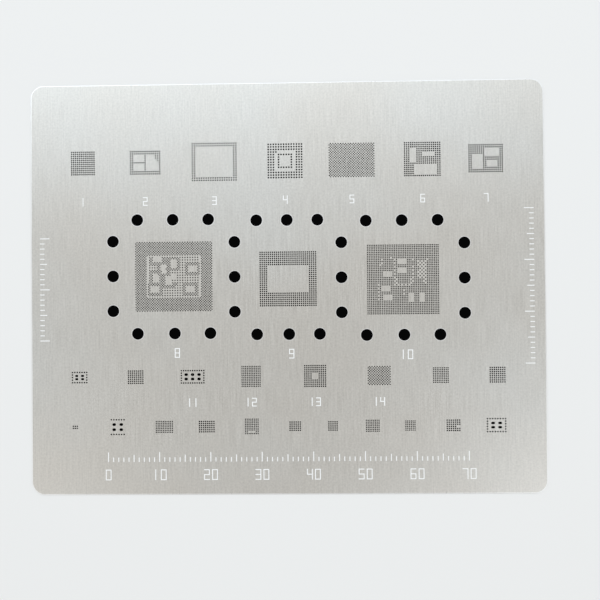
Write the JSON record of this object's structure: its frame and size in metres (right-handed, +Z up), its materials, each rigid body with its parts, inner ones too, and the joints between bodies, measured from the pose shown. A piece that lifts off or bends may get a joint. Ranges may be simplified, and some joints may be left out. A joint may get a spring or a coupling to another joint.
{
  "type": "solder paste stencil",
  "caption": "Thin flat steel stencil with arrays of tiny apertures that lay solder paste or seat solder balls on chip pads, and round relief holes around its large arrays.",
  "frame": {"origin": "middle of the sheet's underside", "axes": "+X along the sheet's longer side, towards the array with the open upper right corner; +Z up through the sheet, out of the face that the paste is wiped across"},
  "size_m": [0.1, 0.08, 0.0001],
  "materials": {
    "sheet": "satin, with a fine rolled grain"
  },
  "bodies": {
    "root": {"stencil_sheet": "sheet"}
  },
  "joints": []
}
